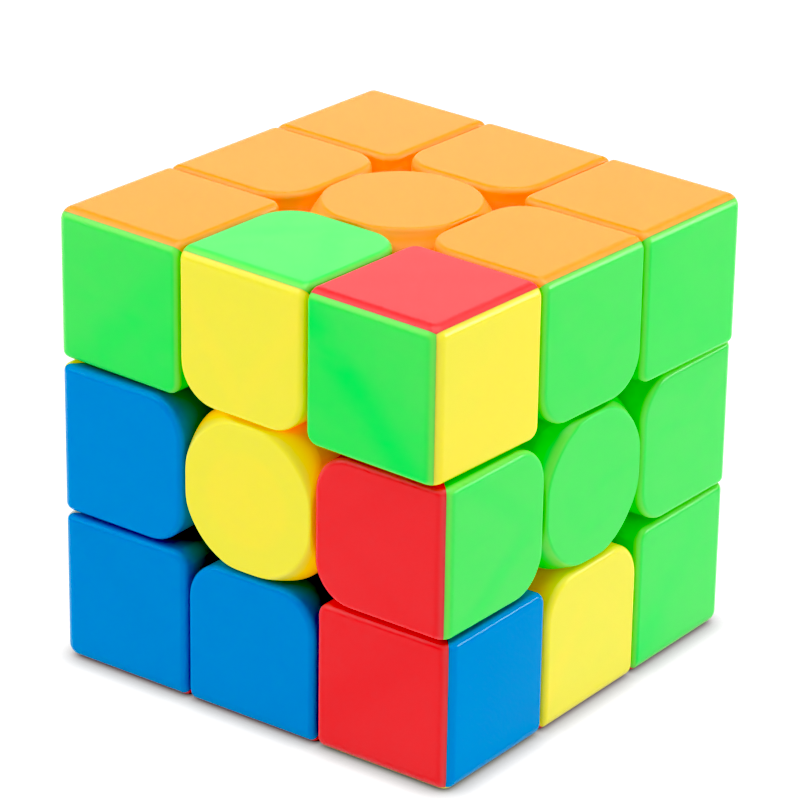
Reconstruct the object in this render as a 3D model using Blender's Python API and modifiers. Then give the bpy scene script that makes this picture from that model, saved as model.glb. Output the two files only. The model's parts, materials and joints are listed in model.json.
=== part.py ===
"""Stickerless three-layer twisty puzzle cube, modelled piece by piece as it comes apart on a bench.

Metres, +Z up. The origin is the middle of the core, where the six turning axes cross. The front face
looks along -Y and the right face along +X. Three radii about that point, and one cut distance in each of
the shells between them, decide which piece owns which space. Every layer is therefore bounded by
surfaces that turn about its own axis, so no foot or flange can foul a neighbour at any angle.
"""

import math

import bmesh
import bpy
from mathutils import Matrix, Vector

MM = 0.001

# Overall size, and how far the outer layers stand from square at rest
CUBE_SIDE = 56.0 * MM
TOP_LAYER_TURN = math.radians(-2.1)
BOTTOM_LAYER_TURN = math.radians(0.9)

# Clearances
PIECE_CLEARANCE = 0.2 * MM
TRACK_CLEARANCE = 0.3 * MM
SEAT_CLEARANCE = 0.3 * MM

# Outer shape of the edge and corner blocks
OUTER_FILLET = 1.7 * MM
RIM_FILLET = 0.8 * MM
EDGE_INNER_RADIUS = 5.0 * MM
CORNER_INNER_RADIUS = 1.6 * MM

# Feet and tracks
CORNER_NECK_DEPTH = 3.5 * MM
EDGE_NECK_DEPTH = 1.8 * MM

# Center base
FLANGE_RADIUS = 6.3 * MM
STALK_RADIUS = 4.3 * MM
RING_HEIGHT = 0.8 * MM
NECK_HEIGHT = 3.6 * MM
CUP_FLOOR = 0.6 * MM

# Center cap: a round face, a little wider than the square wall under it, whose rounded corners slope down
CAP_FACE_MARGIN = 0.07 * MM
CAP_CORNER_RADIUS = 4.8 * MM
CAP_SLOPE = math.radians(56)
CAP_THICKNESS = 1.5 * MM
CAP_WALL = 1.1 * MM
CAP_FILLET = 0.4 * MM

# Core
ARM_RADIUS = 3.1 * MM
ARM_LENGTH = 8.4 * MM
THREAD_DEPTH = 5.0 * MM

# Screw, washer and spring
SHANK_RADIUS = 1.4 * MM
HEAD_RADIUS = 2.8 * MM
HEAD_HEIGHT = 1.9 * MM
SLOT_WIDTH = 0.7 * MM
SLOT_LENGTH = 3.2 * MM
SLOT_DEPTH = 0.9 * MM
WASHER_RADIUS = 3.1 * MM
WASHER_THICKNESS = 0.6 * MM
SPRING_RADIUS = 2.45 * MM
SPRING_WIRE = 0.7 * MM
SPRING_PITCH = 1.2 * MM
SPRING_CURLS = 4

# Facets
CAP_STEPS = 32
CAP_CORNER_SEGMENTS = 6
CENTER_STEPS = 18
SMALL_STEPS = 12
TRACK_SEGMENTS = 20
HUB_SEGMENTS = 16
CURL_POINTS = 8
INNER_SEGMENTS = 4
OUTER_SEGMENTS = 4
RIM_SEGMENTS = 2
SHARP_ANGLE = math.radians(35)
MERGE_DISTANCE = 0.001 * MM
NEAR_ENOUGH = 0.01 * MM
SQUARE_NORMAL = 0.01

# Worked out from the sizes above
HALF = CUBE_SIDE / 2
LAYER_CUT = CUBE_SIDE / 6
BLOCK_NEAR = LAYER_CUT + PIECE_CLEARANCE
BLOCK_WIDE = LAYER_CUT - PIECE_CLEARANCE
FLANGE_CUT = FLANGE_RADIUS + PIECE_CLEARANCE
STALK_CUT = STALK_RADIUS + PIECE_CLEARANCE
CORNER_TRACK = math.sqrt(3) * BLOCK_NEAR + CORNER_NECK_DEPTH
EDGE_TRACK = math.sqrt(2) * (FLANGE_CUT + PIECE_CLEARANCE) + EDGE_NECK_DEPTH
HUB_RADIUS = math.sqrt(2) * (STALK_CUT + PIECE_CLEARANCE) - TRACK_CLEARANCE
STALK_END = ARM_LENGTH + SEAT_CLEARANCE
CUP_RADIUS = max(WASHER_RADIUS, SPRING_RADIUS + SPRING_WIRE / 2) + SEAT_CLEARANCE
BORE_RADIUS = SHANK_RADIUS + SEAT_CLEARANCE
SPRING_SEAT = EDGE_TRACK + TRACK_CLEARANCE + CUP_FLOOR
SPRING_HEIGHT = SPRING_CURLS * SPRING_PITCH + SPRING_WIRE
WASHER_SEAT = SPRING_SEAT + SPRING_HEIGHT + 2 * SEAT_CLEARANCE
HEAD_SEAT = WASHER_SEAT + WASHER_THICKNESS + SEAT_CLEARANCE
RING_TOP = CORNER_TRACK + TRACK_CLEARANCE + RING_HEIGHT
CAP_INSIDE = BLOCK_WIDE - CAP_WALL
CAP_SKIRT_END = RING_TOP + SEAT_CLEARANCE
CAP_FACE_RADIUS = BLOCK_WIDE + CAP_FACE_MARGIN
CAP_REACH = math.sqrt(2) * (BLOCK_WIDE - CAP_CORNER_RADIUS) + CAP_CORNER_RADIUS
CAP_CORNER_DROP = math.tan(CAP_SLOPE) * (CAP_REACH - CAP_FACE_RADIUS)
LAYER_SWING = HALF * math.sin(max(abs(TOP_LAYER_TURN), abs(BOTTOM_LAYER_TURN)))
CAP_PATH_HALF = math.sqrt(max(0.0, CAP_REACH ** 2 - BLOCK_NEAR ** 2)) + LAYER_SWING
CAP_ROOM = math.hypot(BLOCK_NEAR, CAP_PATH_HALF) + PIECE_CLEARANCE
HEAD_TOP = HEAD_SEAT + HEAD_HEIGHT
HEAD_BEVEL_IN = HEAD_HEIGHT / 3
HEAD_BEVEL_DOWN = HEAD_HEIGHT / 2
TIP_CHAMFER = SHANK_RADIUS / 2

FACES = {
    "top": Vector((0, 0, 1)),
    "bottom": Vector((0, 0, -1)),
    "front": Vector((0, -1, 0)),
    "back": Vector((0, 1, 0)),
    "left": Vector((-1, 0, 0)),
    "right": Vector((1, 0, 0)),
}

# Base colour, roughness and metallic value
FINISHES = {
    "orange": ((1.0, 0.35, 0.05), 0.3, 0.0),
    "red": ((0.84, 0.03, 0.04), 0.3, 0.0),
    "yellow": ((0.95, 0.78, 0.05), 0.3, 0.0),
    "white": ((0.85, 0.86, 0.85), 0.3, 0.0),
    "green": ((0.05, 0.75, 0.1), 0.3, 0.0),
    "blue": ((0.0, 0.21, 0.62), 0.3, 0.0),
    "core_plastic": ((0.05, 0.05, 0.055), 0.5, 0.0),
    "washer_plastic": ((0.8, 0.8, 0.76), 0.5, 0.0),
    "steel": ((0.62, 0.62, 0.63), 0.3, 1.0),
}

CENTER_COLOURS = {
    "top": "orange",
    "bottom": "red",
    "front": "yellow",
    "back": "white",
    "left": "blue",
    "right": "green",
}

# The scramble: each piece's faces in the order of its name, and their colours in the same order
EDGE_COLOURS = {
    ("top", "front"): ("green", "yellow"),
    ("top", "back"): ("orange", "white"),
    ("top", "left"): ("orange", "blue"),
    ("top", "right"): ("orange", "green"),
    ("front", "left"): ("blue", "yellow"),
    ("front", "right"): ("red", "green"),
    ("back", "left"): ("white", "blue"),
    ("back", "right"): ("white", "green"),
    ("bottom", "front"): ("red", "blue"),
    ("bottom", "back"): ("red", "white"),
    ("bottom", "left"): ("orange", "yellow"),
    ("bottom", "right"): ("red", "yellow"),
}
CORNER_COLOURS = {
    ("top", "front", "left"): ("orange", "green", "yellow"),
    ("top", "front", "right"): ("red", "green", "yellow"),
    ("top", "back", "left"): ("orange", "white", "blue"),
    ("top", "back", "right"): ("orange", "white", "green"),
    ("bottom", "front", "left"): ("red", "blue", "white"),
    ("bottom", "front", "right"): ("yellow", "red", "blue"),
    ("bottom", "back", "left"): ("yellow", "blue", "orange"),
    ("bottom", "back", "right"): ("red", "white", "green"),
}


def clear_scene():
    for obj in list(bpy.data.objects):
        bpy.data.objects.remove(obj, do_unlink=True)


def new_collection(name):
    collection = bpy.data.collections.new(name)
    bpy.context.scene.collection.children.link(collection)
    return collection


def make_materials():
    materials = {}
    for name, (colour, roughness, metallic) in FINISHES.items():
        material = bpy.data.materials.new(name)
        material.use_nodes = True
        shader = material.node_tree.nodes["Principled BSDF"]
        shader.inputs["Base Color"].default_value = (*colour, 1.0)
        shader.inputs["Roughness"].default_value = roughness
        shader.inputs["Metallic"].default_value = metallic
        materials[name] = material
    return materials


# Mesh helpers


def mesh_object(name, bm, collection):
    mesh = bpy.data.meshes.new(name)
    bm.to_mesh(mesh)
    bm.free()
    obj = bpy.data.objects.new(name, mesh)
    collection.objects.link(obj)
    return obj


def box_bmesh(low, high):
    """A box from its lowest corner to its highest."""
    low = Vector(low)
    high = Vector(high)
    bm = bmesh.new()
    bmesh.ops.create_cube(bm, size=1.0)
    bmesh.ops.scale(bm, vec=high - low, verts=bm.verts)
    bmesh.ops.translate(bm, vec=(low + high) / 2, verts=bm.verts)
    return bm


def box_between(name, low, high, collection):
    return mesh_object(name, box_bmesh(low, high), collection)


def ball(name, radius, segments, collection):
    bm = bmesh.new()
    bmesh.ops.create_uvsphere(bm, u_segments=segments, v_segments=segments // 2, radius=radius)
    return mesh_object(name, bm, collection)


def rod(name, radius, start, end, direction, segments, collection):
    """A cylinder along a direction, from one distance to another along it."""
    bm = bmesh.new()
    bmesh.ops.create_cone(
        bm,
        cap_ends=True,
        segments=segments,
        radius1=radius,
        radius2=radius,
        depth=end - start,
    )
    bmesh.ops.translate(bm, vec=(0, 0, (start + end) / 2), verts=bm.verts)
    turn = Vector((0, 0, 1)).rotation_difference(direction).to_matrix()
    bmesh.ops.rotate(bm, cent=(0, 0, 0), matrix=turn, verts=bm.verts)
    return mesh_object(name, bm, collection)


def combine(target, operation, other):
    """Adds a Boolean, and hides the other solid, which is then only a tool."""
    modifier = target.modifiers.new(operation.lower(), "BOOLEAN")
    modifier.operation = operation
    modifier.object = other
    other.hide_render = True
    other.display_type = "WIRE"


def frozen_mesh(obj, name):
    """The finished mesh of an object with its modifiers."""
    graph = bpy.context.evaluated_depsgraph_get()
    mesh = bpy.data.meshes.new_from_object(obj.evaluated_get(graph))
    mesh.name = name
    mesh.materials.clear()
    return mesh


def empty_out(collection):
    for obj in list(collection.objects):
        bpy.data.objects.remove(obj, do_unlink=True)


def turned_mesh(name, profile, steps, closed, tools):
    """The mesh of a profile of (radius, height) turned about Z by a Screw modifier."""
    bm = bmesh.new()
    points = [bm.verts.new((radius, 0, height)) for radius, height in profile]
    for first, second in zip(points, points[1:]):
        bm.edges.new((first, second))
    if closed:
        bm.edges.new((points[-1], points[0]))
    obj = mesh_object(name + "_profile", bm, tools)
    screw = obj.modifiers.new("turn", "SCREW")
    screw.steps = steps
    screw.render_steps = steps
    screw.use_merge_vertices = True
    screw.merge_threshold = MERGE_DISTANCE
    mesh = frozen_mesh(obj, name)
    mesh.shade_smooth()
    mesh.set_sharp_from_angle(angle=SHARP_ANGLE)
    return mesh


# Edge and corner blocks


def bevel(bm, edges, radius, segments):
    bmesh.ops.bevel(
        bm,
        geom=edges,
        offset=radius,
        segments=segments,
        profile=0.5,
        affect="EDGES",
    )


def rim_edges(bm, shows):
    """The edges round the faces that show on the outside of the cube."""
    outside = {face for face in bm.faces if shows(face.normal)}
    return [edge for edge in bm.edges if len(outside.intersection(edge.link_faces)) == 1]


def edges_near(bm, test):
    return [edge for edge in bm.edges if test((edge.verts[0].co + edge.verts[1].co) / 2)]


def block(low, high, inner_test, inner_radius, outer_test, shows):
    """A box with rounded inner corners, filleted outer edges and a fine fillet round what shows."""
    bm = box_bmesh(low, high)
    bevel(bm, edges_near(bm, inner_test), inner_radius, INNER_SEGMENTS)
    bevel(bm, edges_near(bm, outer_test), OUTER_FILLET, OUTER_SEGMENTS)
    bm.normal_update()
    bevel(bm, rim_edges(bm, shows), RIM_FILLET, RIM_SEGMENTS)
    bmesh.ops.recalc_face_normals(bm, faces=bm.faces)
    return bm


def near(value, target):
    return abs(value - target) < NEAR_ENOUGH


def edge_block(collection):
    """An edge's block along X, with its two faces to +Y and +Z."""
    low = Vector((-BLOCK_WIDE, BLOCK_NEAR, BLOCK_NEAR))
    high = Vector((BLOCK_WIDE, HALF, HALF))

    def inner(middle):
        return near(abs(middle.x), BLOCK_WIDE) and (near(middle.y, BLOCK_NEAR) or near(middle.z, BLOCK_NEAR))

    def outer(middle):
        return near(middle.y, HALF) and near(middle.z, HALF)

    def shows(normal):
        return abs(normal.x) < SQUARE_NORMAL and min(normal.y, normal.z) > -SQUARE_NORMAL

    bm = block(low, high, inner, EDGE_INNER_RADIUS, outer, shows)
    return mesh_object("edge_block", bm, collection)


def corner_block(collection):
    """A corner's block in the octant where X, Y and Z are positive."""
    low = Vector((BLOCK_NEAR, BLOCK_NEAR, BLOCK_NEAR))
    high = Vector((HALF, HALF, HALF))

    def inner(middle):
        return sum(near(value, BLOCK_NEAR) for value in middle) == 2

    def outer(middle):
        return sum(near(value, HALF) for value in middle) == 2

    def shows(normal):
        return min(normal) > -SQUARE_NORMAL

    bm = block(low, high, inner, CORNER_INNER_RADIUS, outer, shows)
    return mesh_object("corner_block", bm, collection)


def corner_mesh(tools):
    """Block and foot. The foot reaches under the three neighbouring edges, which hold it in."""
    foot_near = FLANGE_CUT + PIECE_CLEARANCE
    foot = box_between("foot", [foot_near] * 3, [CORNER_TRACK] * 3, tools)
    combine(foot, "INTERSECT", ball("foot_ball", CORNER_TRACK - TRACK_CLEARANCE, TRACK_SEGMENTS, tools))
    corner = corner_block(tools)
    combine(corner, "UNION", foot)
    return frozen_mesh(corner, "corner")


def ball_beside(name, radius, half_slab, tools):
    """A ball without the slab about X = 0, which cuts both ends of an edge and leaves its middle."""
    cutter = ball(name, radius, TRACK_SEGMENTS, tools)
    slab = box_between(
        name + "_slab",
        (-half_slab, -2 * radius, -2 * radius),
        (half_slab, 2 * radius, 2 * radius),
        tools,
    )
    combine(cutter, "DIFFERENCE", slab)
    return cutter


def cap_cone(name, face_radius, outer_radius, fall, direction, tools):
    """A round face that slopes down to an outer radius, with what lies below it down to the center's ring."""
    profile = [
        (0, HALF + CAP_FILLET),
        (face_radius - CAP_FILLET / fall, HALF + CAP_FILLET),
        (outer_radius, HALF - (outer_radius - face_radius) * fall),
        (outer_radius, RING_TOP),
        (0, RING_TOP),
    ]
    mesh = turned_mesh(name, profile, CAP_STEPS, False, tools)
    mesh.transform(facing(direction).to_4x4())
    cone = bpy.data.objects.new(name, mesh)
    tools.objects.link(cone)
    return cone


def cap_room(direction, tools):
    """What a cap's corners sweep as it turns between edges that stand a little off square."""
    start = CAP_FACE_RADIUS + PIECE_CLEARANCE
    fall = CAP_CORNER_DROP / (CAP_ROOM - start)
    return cap_cone("cap_room", start, CAP_ROOM, fall, direction, tools)


def edge_mesh(tools):
    """Block, waist and foot. The waist bridges two corner feet and the foot reaches under two centers."""
    waist_near = FLANGE_CUT + PIECE_CLEARANCE
    waist_wide = FLANGE_CUT - PIECE_CLEARANCE
    foot_near = STALK_CUT + PIECE_CLEARANCE
    foot_wide = STALK_CUT - PIECE_CLEARANCE

    foot = box_between(
        "foot",
        (-foot_wide, foot_near, foot_near),
        (foot_wide, EDGE_TRACK, EDGE_TRACK),
        tools,
    )
    combine(foot, "INTERSECT", ball("foot_ball", EDGE_TRACK - TRACK_CLEARANCE, TRACK_SEGMENTS, tools))

    waist = box_between(
        "waist",
        (-waist_wide, waist_near, waist_near),
        (waist_wide, CORNER_TRACK, CORNER_TRACK),
        tools,
    )
    combine(waist, "INTERSECT", ball("waist_ball", CORNER_TRACK - TRACK_CLEARANCE, TRACK_SEGMENTS, tools))
    combine(waist, "DIFFERENCE", ball_beside("foot_room", EDGE_TRACK + TRACK_CLEARANCE, foot_wide, tools))
    combine(waist, "UNION", foot)

    edge = edge_block(tools)
    combine(edge, "DIFFERENCE", ball_beside("waist_room", CORNER_TRACK + TRACK_CLEARANCE, waist_wide, tools))
    for side in (Vector((0, 1, 0)), Vector((0, 0, 1))):
        combine(edge, "DIFFERENCE", cap_room(side, tools))
    combine(edge, "UNION", waist)
    return frozen_mesh(edge, "edge")


def paint_by_side(mesh, axes):
    """Gives each face the slot of the outer side that it lies nearest to, so a seam runs along each fillet."""
    for polygon in mesh.polygons:
        reach = [polygon.center[axis] for axis in axes]
        polygon.material_index = reach.index(max(reach))


# Pieces of a center


def cap_mesh(tools):
    """A deep cap with a round face, whose wall reaches over the center's plug down to its ring."""
    up = Vector((0, 0, 1))
    low = Vector((-BLOCK_WIDE, -BLOCK_WIDE, CAP_SKIRT_END))
    high = Vector((BLOCK_WIDE, BLOCK_WIDE, HALF))

    def upright(middle):
        return near(abs(middle.x), BLOCK_WIDE) and near(abs(middle.y), BLOCK_WIDE)

    def shows(normal):
        return normal.z > 1 - SQUARE_NORMAL

    bm = box_bmesh(low, high)
    bevel(bm, edges_near(bm, upright), CAP_CORNER_RADIUS, CAP_CORNER_SEGMENTS)
    bm.normal_update()
    bevel(bm, rim_edges(bm, shows), CAP_FILLET, RIM_SEGMENTS)
    cap = mesh_object("cap_block", bm, tools)
    beyond = CAP_REACH + PIECE_CLEARANCE
    face = cap_cone("cap_face", CAP_FACE_RADIUS, beyond, math.tan(CAP_SLOPE), up, tools)
    combine(cap, "INTERSECT", face)
    inside = rod("cap_inside", CAP_INSIDE, RING_TOP, HALF - CAP_THICKNESS, up, CENTER_STEPS, tools)
    combine(cap, "DIFFERENCE", inside)
    mesh = frozen_mesh(cap, "cap")
    mesh.shade_smooth()
    mesh.set_sharp_from_angle(angle=SHARP_ANGLE)
    return mesh


def height_on(radius, sphere):
    return math.sqrt(sphere * sphere - radius * radius)


def center_profile():
    """Stalk, flange and ring, from the bore at the core outwards and back down the spring cup."""
    edge_room = EDGE_TRACK + TRACK_CLEARANCE
    corner_room = CORNER_TRACK + TRACK_CLEARANCE
    plug_radius = CAP_INSIDE - SEAT_CLEARANCE
    return [
        (BORE_RADIUS, SPRING_SEAT),
        (CUP_RADIUS, SPRING_SEAT),
        (CUP_RADIUS, RING_TOP + NECK_HEIGHT),
        (plug_radius, RING_TOP + NECK_HEIGHT),
        (plug_radius, RING_TOP),
        (BLOCK_WIDE, RING_TOP),
        (BLOCK_WIDE, height_on(BLOCK_WIDE, corner_room)),
        (FLANGE_RADIUS, height_on(FLANGE_RADIUS, corner_room)),
        (FLANGE_RADIUS, height_on(FLANGE_RADIUS, edge_room)),
        (STALK_RADIUS, height_on(STALK_RADIUS, edge_room)),
        (STALK_RADIUS, STALK_END),
        (BORE_RADIUS, STALK_END),
    ]


def washer_profile():
    top = WASHER_SEAT + WASHER_THICKNESS
    return [
        (BORE_RADIUS, top),
        (WASHER_RADIUS, top),
        (WASHER_RADIUS, WASHER_SEAT),
        (BORE_RADIUS, WASHER_SEAT),
    ]


def screw_profile():
    """A pan head on a plain shank, which ends inside the core's arm."""
    end = ARM_LENGTH - THREAD_DEPTH + SEAT_CLEARANCE
    return [
        (0, HEAD_TOP),
        (HEAD_RADIUS - HEAD_BEVEL_IN, HEAD_TOP),
        (HEAD_RADIUS, HEAD_TOP - HEAD_BEVEL_DOWN),
        (HEAD_RADIUS, HEAD_SEAT),
        (SHANK_RADIUS, HEAD_SEAT),
        (SHANK_RADIUS, end + TIP_CHAMFER),
        (SHANK_RADIUS - TIP_CHAMFER, end),
        (0, end),
    ]


def screw_mesh(tools):
    """The turned screw with a cross recess in its head."""
    mesh = turned_mesh("screw_blank", screw_profile(), SMALL_STEPS, False, tools)
    screw = bpy.data.objects.new("screw_blank", mesh)
    tools.objects.link(screw)
    low = Vector((-SLOT_LENGTH / 2, -SLOT_WIDTH / 2, HEAD_TOP - SLOT_DEPTH))
    high = Vector((SLOT_LENGTH / 2, SLOT_WIDTH / 2, HEAD_TOP + SLOT_DEPTH))
    cross = box_between("slot_along", low, high, tools)
    low.xy = low.yx
    high.xy = high.yx
    combine(cross, "UNION", box_between("slot_across", low, high, tools))
    combine(screw, "DIFFERENCE", cross)
    return frozen_mesh(screw, "screw")


def spring_points():
    """The wire's middle line, from the cup's floor up to the washer."""
    start = SPRING_SEAT + SEAT_CLEARANCE + SPRING_WIRE / 2
    points = []
    for step in range(SPRING_CURLS * CURL_POINTS + 1):
        turn = step / CURL_POINTS
        angle = 2 * math.pi * turn
        x = SPRING_RADIUS * math.cos(angle)
        y = SPRING_RADIUS * math.sin(angle)
        points.append(Vector((x, y, start + SPRING_PITCH * turn)))
    return points


def least_wire_gap(points):
    """The least gap between two stretches of the wire that lie at least half a curl apart along it."""
    apart = CURL_POINTS // 2
    least = math.inf
    for first, point in enumerate(points):
        for other in points[first + apart:]:
            least = min(least, (other - point).length - SPRING_WIRE)
    return least


def spring_mesh(tools):
    points = spring_points()
    print(f"least gap of the spring to itself: {least_wire_gap(points) / MM:.2f} mm")
    curve = bpy.data.curves.new("spring", "CURVE")
    curve.dimensions = "3D"
    curve.bevel_depth = SPRING_WIRE / 2
    curve.bevel_resolution = 1
    curve.use_fill_caps = True
    spline = curve.splines.new("POLY")
    spline.points.add(len(points) - 1)
    for target, point in zip(spline.points, points):
        target.co = (*point, 1.0)
    wire = bpy.data.objects.new("spring_wire", curve)
    tools.objects.link(wire)
    mesh = frozen_mesh(wire, "spring")
    bm = bmesh.new()
    bm.from_mesh(mesh)
    bmesh.ops.remove_doubles(bm, verts=bm.verts, dist=MERGE_DISTANCE)
    bm.to_mesh(mesh)
    bm.free()
    mesh.shade_smooth()
    return mesh


# Core


def core_mesh(tools):
    """A ball with six arms, each with a blind hole for its screw."""
    core = ball("core_ball", HUB_RADIUS, HUB_SEGMENTS, tools)
    for face, direction in FACES.items():
        arm = rod(face + "_arm", ARM_RADIUS, 0.0, ARM_LENGTH, direction, SMALL_STEPS, tools)
        combine(core, "UNION", arm)
    for face, direction in FACES.items():
        hole_end = ARM_LENGTH - THREAD_DEPTH
        hole = rod(face + "_hole", BORE_RADIUS, hole_end, 2 * ARM_LENGTH, direction, SMALL_STEPS, tools)
        combine(core, "DIFFERENCE", hole)
    return frozen_mesh(core, "core")


# Assembly


def layer_empty(name, turn, parts):
    empty = bpy.data.objects.new(name, None)
    empty.empty_display_size = HALF
    empty.rotation_euler.z = turn
    parts.objects.link(empty)
    return empty


def place(name, mesh, rotation, parent, materials, parts):
    """Puts one piece into the assembly. Pieces of one shape share a mesh and keep their own colours."""
    obj = bpy.data.objects.new(name, mesh)
    parts.objects.link(obj)
    while len(mesh.materials) < len(materials):
        mesh.materials.append(None)
    for slot, material in zip(obj.material_slots, materials):
        slot.link = "OBJECT"
        slot.material = material
    obj.parent = parent
    obj.rotation_euler = rotation.to_euler()
    return obj


def facing(direction):
    """The turn that brings +Z to a face's direction."""
    return Vector((0, 0, 1)).rotation_difference(direction).to_matrix()


def rows_of(columns):
    return Matrix(columns).transposed()


def build():
    clear_scene()
    parts = new_collection("twisty_puzzle_cube")
    tools = new_collection("cutters")
    materials = make_materials()

    layers = {
        "top": layer_empty("top_layer", TOP_LAYER_TURN, parts),
        "bottom": layer_empty("bottom_layer", BOTTOM_LAYER_TURN, parts),
    }
    middle = layer_empty("middle_layer", 0.0, parts)

    core = core_mesh(tools)
    screw = screw_mesh(tools)
    spring = spring_mesh(tools)
    washer = turned_mesh("washer", washer_profile(), SMALL_STEPS, True, tools)
    center = turned_mesh("center", center_profile(), CENTER_STEPS, True, tools)
    cap = cap_mesh(tools)
    edge = edge_mesh(tools)
    paint_by_side(edge, axes=(2, 1))
    corner = corner_mesh(tools)
    paint_by_side(corner, axes=(0, 1, 2))
    empty_out(tools)

    place("core", core, Matrix.Identity(3), middle, [materials["core_plastic"]], parts)
    for face, direction in FACES.items():
        layer = layers.get(face, middle)
        turn = facing(direction)
        colour = materials[CENTER_COLOURS[face]]
        place(face + "_screw", screw, turn, middle, [materials["steel"]], parts)
        place(face + "_spring", spring, turn, layer, [materials["steel"]], parts)
        place(face + "_washer", washer, turn, layer, [materials["washer_plastic"]], parts)
        place(face + "_center", center, turn, layer, [colour], parts)
        place(face + "_cap", cap, turn, layer, [colour], parts)

    for (first, second), colours in EDGE_COLOURS.items():
        up = FACES[first]
        out = FACES[second]
        turn = rows_of([out.cross(up), out, up])
        paints = [materials[colour] for colour in colours]
        place(f"edge_{first}_{second}", edge, turn, layers.get(first, middle), paints, parts)

    for faces, colours in CORNER_COLOURS.items():
        sides = list(zip(faces, colours))
        if rows_of([FACES[face] for face, _ in sides]).determinant() < 0:
            sides[1], sides[2] = sides[2], sides[1]
        turn = rows_of([FACES[face] for face, _ in sides])
        paints = [materials[colour] for _, colour in sides]
        place("corner_" + "_".join(faces), corner, turn, layers[faces[0]], paints, parts)


build()
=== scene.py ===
"""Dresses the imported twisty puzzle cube: coloured shells, center caps, inner works, stage and camera.

Metres, +Z up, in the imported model's own frame. Run as a script, it registers its operators and calls them in
order. Each piece is shaped once, turned to its place on the cube and then with its layer, and rides on the
body of the part that it stands for. An edge is two coloured shells and a corner three, parted along the
fillets.
"""

import json
import math
from functools import partial

import bmesh
import bpy
from bpy.props import FloatProperty, FloatVectorProperty, IntProperty, PointerProperty
from bpy.types import Operator, Panel, PropertyGroup
from mathutils import Matrix, Vector


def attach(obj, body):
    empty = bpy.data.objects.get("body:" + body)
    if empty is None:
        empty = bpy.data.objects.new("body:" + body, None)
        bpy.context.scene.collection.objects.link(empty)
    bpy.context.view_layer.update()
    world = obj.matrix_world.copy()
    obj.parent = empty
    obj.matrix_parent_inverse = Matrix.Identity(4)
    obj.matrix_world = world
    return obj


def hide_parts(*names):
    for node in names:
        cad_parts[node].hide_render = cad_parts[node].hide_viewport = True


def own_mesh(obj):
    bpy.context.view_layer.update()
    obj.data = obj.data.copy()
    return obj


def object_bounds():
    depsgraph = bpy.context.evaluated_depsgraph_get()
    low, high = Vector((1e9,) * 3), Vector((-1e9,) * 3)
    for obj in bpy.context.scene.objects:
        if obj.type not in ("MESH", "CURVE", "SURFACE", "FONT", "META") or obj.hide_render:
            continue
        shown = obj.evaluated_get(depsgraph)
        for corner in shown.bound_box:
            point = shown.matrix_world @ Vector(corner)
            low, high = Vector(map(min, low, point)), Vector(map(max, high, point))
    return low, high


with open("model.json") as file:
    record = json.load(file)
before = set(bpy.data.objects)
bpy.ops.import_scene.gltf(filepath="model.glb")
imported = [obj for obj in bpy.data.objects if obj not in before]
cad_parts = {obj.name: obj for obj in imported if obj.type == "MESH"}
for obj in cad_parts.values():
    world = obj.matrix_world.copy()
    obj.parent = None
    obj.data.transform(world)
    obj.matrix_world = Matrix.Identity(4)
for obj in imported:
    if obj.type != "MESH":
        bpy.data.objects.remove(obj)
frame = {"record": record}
CAD_BOX = [list(corner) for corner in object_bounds()]
CAD_SIDE = CAD_BOX[1][2] - CAD_BOX[0][2]
BODIES = frame["record"]["behaviour"]["bodies"]
BODY_OF = {node: body for body, nodes in BODIES.items() for node in nodes}

bl_info = {
    "name": "Twisty puzzle cube",
    "version": (1, 0, 0),
    "blender": (4, 5, 0),
    "location": "View3D > Sidebar > Puzzle cube",
    "description": "Builds the shells, caps and inner works of a stickerless puzzle cube on its packed frame",
    "category": "Object",
}

MM = 0.001
OWN_PLACE = "own_place"
FACES = {
    "top": Vector((0, 0, 1)),
    "bottom": Vector((0, 0, -1)),
    "front": Vector((0, -1, 0)),
    "back": Vector((0, 1, 0)),
    "left": Vector((-1, 0, 0)),
    "right": Vector((1, 0, 0)),
}
CENTER_COLOURS = {
    "top": "orange",
    "bottom": "red",
    "front": "yellow",
    "back": "white",
    "left": "blue",
    "right": "green",
}

# The scramble: each piece's faces in the order of its name, and their colours in the same order
EDGE_COLOURS = {
    ("top", "front"): ("green", "yellow"),
    ("top", "back"): ("orange", "white"),
    ("top", "left"): ("orange", "blue"),
    ("top", "right"): ("orange", "green"),
    ("front", "left"): ("blue", "yellow"),
    ("front", "right"): ("red", "green"),
    ("back", "left"): ("white", "blue"),
    ("back", "right"): ("white", "green"),
    ("bottom", "front"): ("red", "blue"),
    ("bottom", "back"): ("red", "white"),
    ("bottom", "left"): ("orange", "yellow"),
    ("bottom", "right"): ("red", "yellow"),
}
CORNER_COLOURS = {
    ("top", "front", "left"): ("orange", "green", "yellow"),
    ("top", "front", "right"): ("red", "green", "yellow"),
    ("top", "back", "left"): ("orange", "white", "blue"),
    ("top", "back", "right"): ("orange", "white", "green"),
    ("bottom", "front", "left"): ("red", "blue", "white"),
    ("bottom", "front", "right"): ("yellow", "red", "blue"),
    ("bottom", "back", "left"): ("yellow", "blue", "orange"),
    ("bottom", "back", "right"): ("red", "white", "green"),
}


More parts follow.
